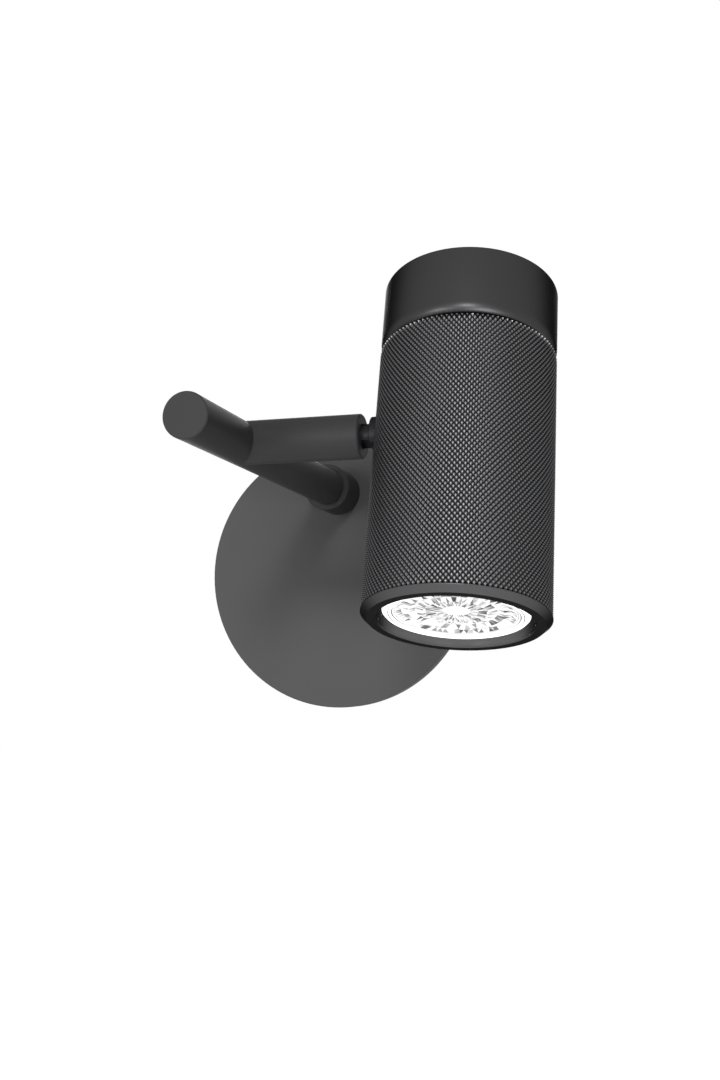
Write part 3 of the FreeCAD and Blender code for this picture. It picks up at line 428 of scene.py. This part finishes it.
FINISHES: dict[str, Finish] = {
    # Epoxy-polyester powder, baked matt black: an even skin with faint orange peel.
    "plate_coat": Finish("powder_coat_plate", "#5b5b5c", 0.6, specular=0.1, grain_mm=0.6,
                         grain_depth_mm=0.003, tone_share=0.04),
    # Aluminium tube, blasted, then anodised satin black; its reflection is painted darker at a slant as painted
    # shade.
    "arm_coat": Finish("black_anodised_satin", "#424243", 0.5, metallic=0.25, specular=0.1,
                       slant_shade_tint="#303030", grain_mm=0.4, grain_depth_mm=0.002,
                       tone_share=0.05),
    # Turned steel, chemically blackened and oiled; its reflection is painted darker at a slant as painted shade.
    "stud_black": Finish("blackened_steel", "#2a2a2c", 0.4, metallic=0.8, specular=0.2,
                         slant_shade_tint="#303030", grain_mm=0.2),
    # Aluminium, knurled and then anodised black: satin flanks; the crests are painted lighter as painted highlight
    # and the valleys darker as painted shade, and the reflection is painted darker at a slant as painted shade.
    "head_knurl": KnurledFinish("black_anodised_knurled", "#868688", 0.36, metallic=1.0,
                                slant_shade_tint="#404040", grain_mm=0.25, grain_depth_mm=0.002,
                                tone_share=0.05),
    # Aluminium, turned and then anodised black: fine rings from the tool; its reflection is painted a little
    # darker at a slant as painted shade.
    "cap_turned": Finish("black_anodised_turned", "#404041", 0.36, metallic=1.0,
                         slant_shade_tint="#808080", grain_mm=0.35, grain_depth_mm=0.02,
                         tone_share=0.05, roughness_drift=0.1,
                         pattern=Pattern.TURNED_ON_HEAD),
    # Bright zinc plate on steel, passivated: a cold light grey that mirrors softly.
    "zinc_steel": Finish("zinc_plated_steel", "#b9bcc0", 0.34, metallic=1.0, grain_mm=0.3),
    # Alloy steel screws, black oxide: near black with a small sheen.
    "black_screw": Finish("black_oxide_steel", "#2a2a2b", 0.4, specular=0.4, grain_mm=0.2),
    # Hardened spring steel, lightly oiled: a mid grey with sharp glints.
    "spring_steel": Finish("spring_steel", "#8d8f94", 0.3, metallic=1.0, grain_mm=0.2),
    # Free-cutting brass as turned: warm yellow, bright on its edges.
    "brass": Finish("turned_brass", "#c9a35a", 0.28, metallic=1.0, grain_mm=0.2),
    # Copper tags with a tin coat: a pale, slightly cloudy silver.
    "tinned": Finish("tinned_copper", "#c6c6c4", 0.36, metallic=1.0, grain_mm=0.3),
    # Polyamide, moulded natural white: a warm off-white, half matt.
    "terminal_plastic": Finish("moulded_polyamide", "#d9d7cf", 0.5, grain_mm=0.3),
    # Vulcanised fibre: red-brown, dry and slightly fuzzy.
    "fibre": Finish("vulcanised_fibre", "#6d4630", 0.75, grain_mm=0.2, grain_depth_mm=0.01),
    # Natural rubber, moulded: dull black.
    "grommet_rubber": Finish("moulded_rubber", "#232324", 0.7, grain_mm=0.3,
                             grain_depth_mm=0.006),
    # Glass braid with a silicone coat: pale oatmeal with a woven roughness.
    "lead_sleeve": Finish("silicone_glass_sleeve", "#bdb4a2", 0.7, grain_mm=0.5,
                          grain_depth_mm=0.03),
    # Extruded silicone insulation: an even blue-grey with a waxy sheen.
    "core_insulation": Finish("silicone_insulation", "#5b5f66", 0.45, grain_mm=0.4),
    # Steatite, fired with a clear glaze: ivory under a wet-looking skin.
    "steatite": Finish("glazed_steatite", "#e2ddd0", 0.25, grain_mm=0.5, coat=0.4),
    # White polycarbonate of the lit lamp: it glows through, with painted shade in its groove at the sides.
    "lamp_white": LitRim("lit_polycarbonate", "#e9e9e8", 0.3, grain_mm=0.4,
                         grain_depth_mm=0.002, tone_share=0.02, glow=1.7),
    # Clear acrylic optic of the lit lamp: bright and grey facets in a fan.
    "lamp_clear": LitOptic("lit_acrylic_optic", "#2c2d2f", 0.2, specular=0.05,
                           grain_mm=0.4, grain_depth_mm=0.0, tone_share=0.02, glow=1.0),
    # Fibreglass board under white solder mask: flat, clean white.
    "board_white": Finish("solder_mask_white", "#e6e6e3", 0.4, grain_mm=0.4),
    # Phosphor in clear silicone: a glowing pale yellow.
    "emitter": Finish("phosphor_layer", "#ffe9a8", 0.4, glow=1.0),
    # Nickel plate on brass pins: a warm silver.
    "nickel": Finish("nickel_plate", "#b8b2a6", 0.28, metallic=1.0, grain_mm=0.2),
}


def dress_frame(finishes: dict[str, bpy.types.Material]) -> None:
    """Give every node of the frame the finish of its material slot.

    Args:
        finishes: The made materials, by slot.
    """
    for row in frame["record"]["subparts"]:
        for slot in frame["nodes"][row["node"]].material_slots:
            slot.material = finishes[row["material_slot"]]
        LOG.info("dressed %s in %s", row["node"], row["material_slot"])


# ------------------------------------------------------------------ mesh tools


def in_scene(name: str, data: bpy.types.ID) -> bpy.types.Object:
    """Put a mesh, a lamp or a camera into the scene.

    Args:
        name: The object's name.
        data: What the object shows.

    Returns:
        The new object, at the origin.
    """
    made = bpy.data.objects.new(name, data)
    bpy.context.scene.collection.objects.link(made)
    return made


def spun(outline: list[Point], steps: int) -> bmesh.types.BMesh:
    """Spin a closed outline once about Z.

    Args:
        outline: Corners as (radius, height) in millimetres, in order round the loop.
        steps: How many stations there are round the axis.

    Returns:
        A closed mesh in millimetres, with its faces outwards.
    """
    mesh = bmesh.new()
    verts = [mesh.verts.new((radius, 0, height)) for radius, height in outline]
    edges = [mesh.edges.new((verts[i - 1], verts[i])) for i in range(len(verts))]
    bmesh.ops.spin(mesh, geom=verts + edges, axis=(0, 0, 1), cent=(0, 0, 0),
                   angle=FULL_TURN, steps=steps, use_merge=True)
    bmesh.ops.remove_doubles(mesh, verts=mesh.verts, dist=MERGE_MM)
    bmesh.ops.recalc_face_normals(mesh, faces=mesh.faces)
    return mesh


def finish_mesh(mesh: bmesh.types.BMesh, name: str, crease_degrees: float) -> bpy.types.Object:
    """Turn a mesh in millimetres on the upright head into a piece at its rest place.

    Args:
        mesh: The mesh, which is freed.
        name: The piece's name.
        crease_degrees: Faces that meet at more than this stay crisp.

    Returns:
        The new object, at the origin, with its place in its mesh.
    """
    mesh.transform(HEAD.matrix() @ Matrix.Scale(MM, 4))
    data = bpy.data.meshes.new(name)
    mesh.to_mesh(data)
    mesh.free()
    for polygon in data.polygons:
        polygon.use_smooth = True
    data.set_sharp_from_angle(angle=math.radians(crease_degrees))
    return in_scene(name, data)


def bored(piece: bpy.types.Object, cutters: list[bpy.types.Object]) -> None:
    """Cut holes into a piece and remove the cutters.

    Args:
        piece: The piece, whose mesh is replaced by the cut one.
        cutters: Closed objects to take away from it.
    """
    for cutter in cutters:
        step = piece.modifiers.new("bore", "BOOLEAN")
        step.object = cutter
        step.solver = "EXACT"
        depsgraph = bpy.context.evaluated_depsgraph_get()
        cut = bpy.data.meshes.new_from_object(piece.evaluated_get(depsgraph))
        piece.modifiers.clear()
        piece.data = cut
        bpy.data.objects.remove(cutter)


# ------------------------------------------------------------------ lamp head


@dataclass
class KnurledBody:
    """The head's tube: bevelled mouth, diamond knurl, spot face for the stud, cap spigot."""

    radius: float = 32.0
    knurl_depth: float = 0.75
    diamonds_round: int = 112
    diamond_height: float = 2.08
    mouth_height: float = -72.0
    bevel_width: float = 2.2
    bevel_height: float = 2.0
    mouth_radius: float = 26.4
    mouth_edge: float = 0.3
    seat_height: float = -8.3
    upper_bore_radius: float = 27.9
    spigot_radius: float = 29.4
    spigot_length: float = 6.0
    top_height: float = 28.2
    top_edge: float = 0.3
    spot_face: float = 31.197
    spot_radius: float = 7.1
    stud_hole_radius: float = 4.1
    plain_ring: float = 0.3
    shoulder_step: float = 0.1
    cutter_overrun: float = 2.0
    cutter_sides: int = 96
    crease_degrees: float = 24.0
    hair: float = 0.02

    def knurl_low(self) -> float:
        """Return the height of the knurl's lowest row of crests."""
        return self.mouth_height + self.bevel_height + self.plain_ring

    def knurl_high(self) -> float:
        """Return the height of the knurl's highest row of crests."""
        return self.top_height - self.top_edge

    def rows(self) -> int:
        """Return how many half-diamond rows fit on the tube."""
        return round((self.knurl_high() - self.knurl_low()) / self.diamond_height) * 2

    def row_step(self) -> float:
        """Return the height from one row of corners to the next."""
        return (self.knurl_high() - self.knurl_low()) / self.rows()

    def outline(self) -> list[Point]:
        """Return the tube's half section, with one corner for each row of the knurl."""
        mouth = self.mouth_height
        crest = self.radius - self.hair
        knurl = [(crest, self.knurl_low() + self.row_step() * row)
                 for row in range(self.rows() + 1)]
        inner_edge = self.radius - self.knurl_depth - self.shoulder_step
        return [(self.mouth_radius, mouth + self.mouth_edge),
                (self.mouth_radius + self.mouth_edge, mouth),
                (self.radius - self.bevel_width, mouth),
                (self.radius, mouth + self.bevel_height),
                (self.radius, self.knurl_low() - self.hair),
                *knurl,
                (inner_edge, self.top_height),
                (self.spigot_radius, self.top_height),
                (self.spigot_radius, self.top_height + self.spigot_length),
                (self.upper_bore_radius, self.top_height + self.spigot_length),
                (self.upper_bore_radius, self.seat_height),
                (self.mouth_radius, self.seat_height)]

    def sink_valleys(self, mesh: bmesh.types.BMesh) -> None:
        """Draw every second corner of the knurl inwards and fold the faces along them.

        Args:
            mesh: The spun tube, in millimetres.
        """
        row_step = self.row_step()
        column_step = FULL_TURN / (2 * self.diamonds_round)
        valleys = []
        for vert in mesh.verts:
            if (math.hypot(vert.co.x, vert.co.y) < self.radius - 2 * self.hair
                    or vert.co.z < self.knurl_low() - self.hair / 2):
                continue
            row = round((vert.co.z - self.knurl_low()) / row_step)
            column = round(math.atan2(vert.co.y, vert.co.x) / column_step)
            if (row + column) % 2:
                vert.co.xy *= 1 - self.knurl_depth / self.radius
                if row == self.rows():
                    vert.co.z = self.top_height
                valleys.append(vert)
        bmesh.ops.connect_verts(mesh, verts=valleys)

    def crisp_valleys(self, piece: bpy.types.Object) -> None:
        """Keep the knurl's valleys crisp, and round the shading over each crest.

        Args:
            piece: The finished tube.
        """
        mesh = bmesh.new()
        mesh.from_mesh(piece.data)
        upright = Matrix.Scale(1 / MM, 4) @ HEAD.matrix().inverted()
        for edge in mesh.edges:
            ends = [upright @ vert.co for vert in edge.verts]
            radii = [math.hypot(end.x, end.y) for end in ends]
            knurled = all(radius > self.radius - self.knurl_depth - self.hair
                          and self.knurl_low() - self.hair / 2 < end.z < self.knurl_high()
                          for radius, end in zip(radii, ends))
            if knurled:
                edge.smooth = max(radii) > self.radius - 2 * self.hair
        mesh.to_mesh(piece.data)
        mesh.free()

    def cutter(self, radius: float, near: float, far: float, name: str) -> bpy.types.Object:
        """Make a round cutter along the tilt axis, on the arm's side of the head.

        Args:
            radius: The cutter's radius in millimetres.
            near: Its end nearer to the head's axis, in millimetres from that axis.
            far: Its other end.
            name: The cutter's name.

        Returns:
            The cutter, in its place on the leaning head.
        """
        mesh = bmesh.new()
        bmesh.ops.create_cone(mesh, cap_ends=True, segments=self.cutter_sides, radius1=radius,
                              radius2=radius, depth=far - near)
        mesh.transform(Matrix.Translation((-(near + far) / 2, 0, 0))
                       @ Matrix.Rotation(math.pi / 2, 4, "Y"))
        return finish_mesh(mesh, name, self.crease_degrees)

    def build(self) -> bpy.types.Object:
        """Make the tube.

        Returns:
            The piece, at its rest place.
        """
        mesh = spun(self.outline(), 2 * self.diamonds_round)
        self.sink_valleys(mesh)
        bmesh.ops.recalc_face_normals(mesh, faces=mesh.faces)
        piece = finish_mesh(mesh, "knurled_body", self.crease_degrees)
        outside = self.radius + self.cutter_overrun
        inside = self.upper_bore_radius - self.cutter_overrun
        bored(piece, [self.cutter(self.spot_radius, self.spot_face, outside, "spot_cut"),
                      self.cutter(self.stud_hole_radius, inside, outside, "stud_cut")])
        piece.data.set_sharp_from_angle(angle=math.radians(self.crease_degrees))
        self.crisp_valleys(piece)
        return piece


@dataclass
class TurnedCap:
    """The head's closed cap, with a long round where it meets the knurl."""

    radius: float = 31.9
    top_height: float = 55.5
    crown: float = 3.0
    bore_radius: float = 29.5
    edge_height: float = 29.1
    lower_round_width: float = 2.35
    lower_round_height: float = 3.9
    upper_round: float = 0.8
    round_steps: int = 10
    stations: int = 192
    crease_degrees: float = 30.0
    hair: float = 0.01

    def build(self) -> bpy.types.Object:
        """Make the cap.

        Returns:
            The piece, at its rest place.
        """
        shoulder = self.top_height - self.crown
        quarter = FULL_TURN / 4
        turns = [quarter * step / self.round_steps for step in range(self.round_steps + 1)]
        lower_round = [(self.radius - self.lower_round_width * (1 - math.sin(turn)),
                        self.edge_height + self.lower_round_height * (1 - math.cos(turn)))
                       for turn in turns]
        mesh = spun([(0, self.top_height), (0, shoulder), (self.bore_radius, shoulder),
                     (self.bore_radius, self.edge_height), *lower_round,
                     (self.radius, self.top_height)], self.stations)
        rim = [edge for edge in mesh.edges
               if all(vert.co.z > self.top_height - self.hair
                      and math.hypot(vert.co.x, vert.co.y) > self.radius - self.hair
                      for vert in edge.verts)]
        bmesh.ops.bevel(mesh, geom=rim, offset=self.upper_round, segments=self.round_steps,
                        profile=0.5, affect="EDGES", material=-1)
        bmesh.ops.recalc_face_normals(mesh, faces=mesh.faces)
        return finish_mesh(mesh, "turned_cap", self.crease_degrees)


@dataclass(frozen=True)
class Loop:
    """One loop of the optic's corners, and the facets between it and the loop inside it."""

    radius: float
    height: float
    corners: int
    turn: float = 0.0
    sink: float = 0.0
    grey_share: float = 0.0
    darkest: float = 1.0


@dataclass
class LampOptic:
    """The lamp's faceted lens: a bright hub, a fan of flutes and rings of facets."""

    TONE = "facet_tone"

    face_height: float = -69.2
    crease_degrees: float = 1.0
    seed: int = 17
    # Painted shade: the outer rings of the optic darken towards its left and right sides.
    painted_side_shade: float = 0.9
    painted_side_power: float = 4.0
    dark_power: float = 1.5
    groove_radius: float = 21.3
    front: list[Loop] = field(default_factory=lambda: [
        Loop(4.0, 1.7, 24),
        Loop(4.7, 1.5, 96, sink=0.25),
        Loop(7.4, 1.3, 96, sink=0.4, grey_share=0.55, darkest=0.12),
        Loop(10.2, 1.1, 96, sink=0.4, grey_share=0.72, darkest=0.06),
        Loop(11.0, 0.9, 72, grey_share=0.45, darkest=0.2),
        Loop(13.8, 1.5, 48, turn=0.5, grey_share=0.45, darkest=0.05),
        Loop(16.2, 0.7, 48, grey_share=0.5, darkest=0.1),
        Loop(18.4, 1.1, 72, turn=0.5, grey_share=0.5, darkest=0.05),
        Loop(20.2, 0.4, 60, grey_share=0.45, darkest=0.1),
        Loop(20.5, 0.4, 96),
        Loop(20.75, 0.4, 96, grey_share=1.0, darkest=0.25),
        Loop(21.3, 0.0, 96),
        Loop(21.75, 0.0, 96),
    ])
    back: list[Loop] = field(default_factory=lambda: [
        Loop(21.75, 2.6, 96),
        Loop(19.75, 3.8, 96),
        Loop(6.5, 11.6, 96),
    ])

    def loop(self, mesh: bmesh.types.BMesh, size: Loop,
             filled: bool) -> list[bmesh.types.BMEdge]:
        """Add one loop of corners.

        Args:
            mesh: The mesh that gets it.
            size: Where its corners are.
            filled: Whether a face closes it.

        Returns:
            Its edges.
        """
        step = FULL_TURN / size.corners
        place = (Matrix.Translation((0, 0, self.face_height + size.height))
                 @ Matrix.Rotation(step * size.turn, 4, "Z"))
        made = bmesh.ops.create_circle(mesh, cap_ends=filled, segments=size.corners,
                                       radius=size.radius, matrix=place)["verts"]
        for number, vert in enumerate(made):
            if number % 2:
                vert.co.z += size.sink
        mesh.edges.ensure_lookup_table()
        return list({edge for vert in made for edge in vert.link_edges})

    def place_of(self, face: bmesh.types.BMFace) -> Point:
        """Return where a facet stands, to keep the draws in the same order every time.

        Args:
            face: The facet.

        Returns:
            The angle and distance of its middle, rounded.
        """
        middle = face.calc_center_median()
        return round(math.atan2(middle.y, middle.x), 4), round(middle.length, 4)

    def tone_of(self, face: bmesh.types.BMFace, size: Loop, chance: random.Random) -> float:
        """Return how brightly one facet passes the light.

        Args:
            face: The facet.
            size: The loop outside it.
            chance: The seeded source of chance.

        Returns:
            A tone from 0 to 1.
        """
        draw, depth = chance.random(), chance.random()
        middle = face.calc_center_median()
        # Painted shade: outer rings darker towards the left and right.
        if size.radius > self.groove_radius:
            return 1 - self.painted_side_shade * abs(middle.x / size.radius) ** self.painted_side_power
        if draw < size.grey_share:
            return size.darkest + (1 - size.darkest) * depth ** self.dark_power
        return 1.0

    def build(self) -> bpy.types.Object:
        """Make the lens.

        Returns:
            The piece, at its rest place.
        """
        mesh = bmesh.new()
        layer = mesh.loops.layers.float_color.new(self.TONE)
        chance = random.Random(self.seed)
        inner = self.loop(mesh, self.front[0], filled=True)
        hub = list(mesh.faces)
        tones = {face: 1.0 for face in hub}
        sizes = self.front[1:] + self.back
        for size in sizes:
            outer = self.loop(mesh, size, filled=size is sizes[-1])
            caps = [face for face in mesh.faces if face not in tones]
            tones.update((face, 1.0) for face in caps)
            made = bmesh.ops.bridge_loops(mesh, edges=inner + outer)["faces"]
            made = bmesh.ops.triangulate(mesh, faces=made)["faces"]
            made.sort(key=self.place_of)
            for face in made:
                tones[face] = self.tone_of(face, size, chance)
            inner = outer
        for face, tone in tones.items():
            for corner in face.loops:
                corner[layer] = (tone, tone, tone, 1.0)
        bmesh.ops.recalc_face_normals(mesh, faces=mesh.faces)
        return finish_mesh(mesh, "faceted_optic", self.crease_degrees)


@dataclass
class LampHead:
    """The tilting spotlight: its knurled body, its cap and the lamp's optic."""

    finishes: dict[str, bpy.types.Material]
    body: KnurledBody = field(default_factory=KnurledBody)
    cap: TurnedCap = field(default_factory=TurnedCap)
    optic: LampOptic = field(default_factory=LampOptic)

    def place(self, piece: bpy.types.Object, slot: str, node: str) -> None:
        """Dress a piece and let it stand for a node of the frame.

        Args:
            piece: The new piece.
            slot: The record's material slot.
            node: The node that the piece stands for.
        """
        piece.data.materials.clear()
        piece.data.materials.append(self.finishes[slot])
        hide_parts(node)
        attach(piece, Body.LAMP_HEAD.value)
        LOG.info("built %s for %s, %d faces", piece.name, node, len(piece.data.polygons))

    def build(self) -> None:
        """Make the head's visible pieces."""
        self.place(self.body.build(), "head_knurl", "head_body")
        self.place(self.cap.build(), "cap_turned", "head_cap")
        self.place(self.optic.build(), "lamp_clear", "lamp_lens")


# ------------------------------------------------------------------ studio


@dataclass(frozen=True)
class Softbox:
    """A soft rectangular lamp that faces a point."""

    name: str
    place: tuple[float, float, float]
    aim: tuple[float, float, float]
    width: float
    height: float
    watts: float

    def build(self) -> None:
        """Hang the lamp."""
        light = bpy.data.lights.new(self.name, "AREA")
        light.shape = "RECTANGLE"
        light.size = self.width
        light.size_y = self.height
        light.energy = self.watts
        lamp = in_scene(self.name, light)
        lamp.location = self.place
        to_aim = Vector(self.aim) - Vector(self.place)
        lamp.rotation_euler = to_aim.to_track_quat("-Z", "Y").to_euler()


@dataclass
class Studio:
    """Camera, pale surroundings and soft lamps. Places are in metres."""

    camera_place: tuple[float, float, float] = (0.158607, -0.534112, -0.046232)
    camera_yaw: float = 0.27377
    camera_pitch: float = 0.11207
    focal_length_mm: float = 38.685
    sensor_mm: float = 36.0
    floor_height: float = -1.2
    floor_size: float = 30.0
    floor_white: float = 0.9
    fill_strength: float = 0.08
    nearest_seen: float = 0.01
    farthest_seen: float = 50.0
    # The keys model the arm and the knurl, the accent draws the cap's round, and the rear
    # lamp lights the back views.
    softboxes: list[Softbox] = field(default_factory=lambda: [
        Softbox("key_right", (0.735, -1.497, -0.333), (0.05, -0.09, 0.0), 0.6, 0.6, 12.0),
        Softbox("key_left", (-0.6, -1.56, 0.0), (0.05, -0.09, 0.0), 0.5, 0.5, 7.0),
        Softbox("accent_front", (0.27, -1.5, 0.5), (0.085, -0.17, 0.03), 0.2, 0.2, 6.0),
        Softbox("rear", (-0.4, 1.4, 0.3), (0.0, 0.0, 0.0), 1.0, 1.0, 9.0),
    ])

    def camera(self) -> None:
        """Set the camera that took the photograph."""
        lens = bpy.data.cameras.new("camera")
        lens.lens = self.focal_length_mm
        lens.sensor_width = self.sensor_mm
        lens.clip_start = self.nearest_seen
        lens.clip_end = self.farthest_seen
        camera = in_scene("camera", lens)
        camera.location = self.camera_place
        camera.rotation_euler = (math.pi / 2 + self.camera_pitch, 0, self.camera_yaw)
        bpy.context.scene.camera = camera

    def seen_directly(self, tree: bpy.types.NodeTree) -> bpy.types.NodeSocket:
        """Return 1 for camera, glossy and transmission rays, and 0 for the others.

        Args:
            tree: The tree that gets the nodes.

        Returns:
            The socket with that share.
        """
        path = add_node(tree, "ShaderNodeLightPath")
        share = path.outputs["Is Camera Ray"]
        for ray in ("Is Glossy Ray", "Is Transmission Ray"):
            share = add_node(tree, "ShaderNodeMath", {0: share, 1: path.outputs[ray]},
                             operation="MAXIMUM").outputs[0]
        return share

    def surroundings(self) -> None:
        """Make the pale world: white where it is seen, and a soft fill elsewhere."""
        world = bpy.data.worlds.new("studio")
        bpy.context.scene.world = world
        world.use_nodes = True
        tree = world.node_tree
        tree.nodes.clear()
        strength = add_node(tree, "ShaderNodeMapRange",
                            {"Value": self.seen_directly(tree),
                             "To Min": self.fill_strength, "To Max": 1.0})
        sky = add_node(tree, "ShaderNodeBackground",
                       {"Color": WHITE, "Strength": strength.outputs[0]})
        add_node(tree, "ShaderNodeOutputWorld", {"Surface": sky.outputs[0]})

    def floor(self) -> None:
        """Lay the pale floor, far below the light, which keeps its shadow."""
        mesh = bmesh.new()
        bmesh.ops.create_grid(mesh, x_segments=1, y_segments=1, size=self.floor_size / 2)
        mesh.transform(Matrix.Translation((0, 0, self.floor_height)))
        data = bpy.data.meshes.new("floor")
        mesh.to_mesh(data)
        mesh.free()
        floor = in_scene("floor", data)
        paper = bpy.data.materials.new("matt_paper")
        paper.use_nodes = True
        tree = paper.node_tree
        tree.nodes.clear()
        matt = add_node(tree, "ShaderNodeBsdfDiffuse",
                        {"Color": (self.floor_white,) * 3 + (1.0,)})
        to_white = add_node(tree, "ShaderNodeMath",
                            {0: self.seen_directly(tree),
                             1: 1 - self.floor_white * self.fill_strength},
                            operation="MULTIPLY")
        glow = add_node(tree, "ShaderNodeEmission",
                        {"Color": WHITE, "Strength": to_white.outputs[0]})
        both = add_node(tree, "ShaderNodeAddShader", {0: matt.outputs[0], 1: glow.outputs[0]})
        add_node(tree, "ShaderNodeOutputMaterial", {"Surface": both.outputs[0]})
        data.materials.append(paper)

    def build(self) -> None:
        """Set up the studio."""
        self.camera()
        self.surroundings()
        self.floor()
        for softbox in self.softboxes:
            softbox.build()
        bpy.context.scene.view_settings.view_transform = "Standard"
        LOG.info("studio is set, with %d soft lamps", len(self.softboxes))


def main() -> None:
    """Dress the frame, build the head's pieces and set the studio."""
    logging.basicConfig(level=logging.INFO)
    finishes = {slot: finish.build() for slot, finish in FINISHES.items()}
    dress_frame(finishes)
    LampHead(finishes).build()
    Studio().build()


if __name__ == "__main__":
    main()
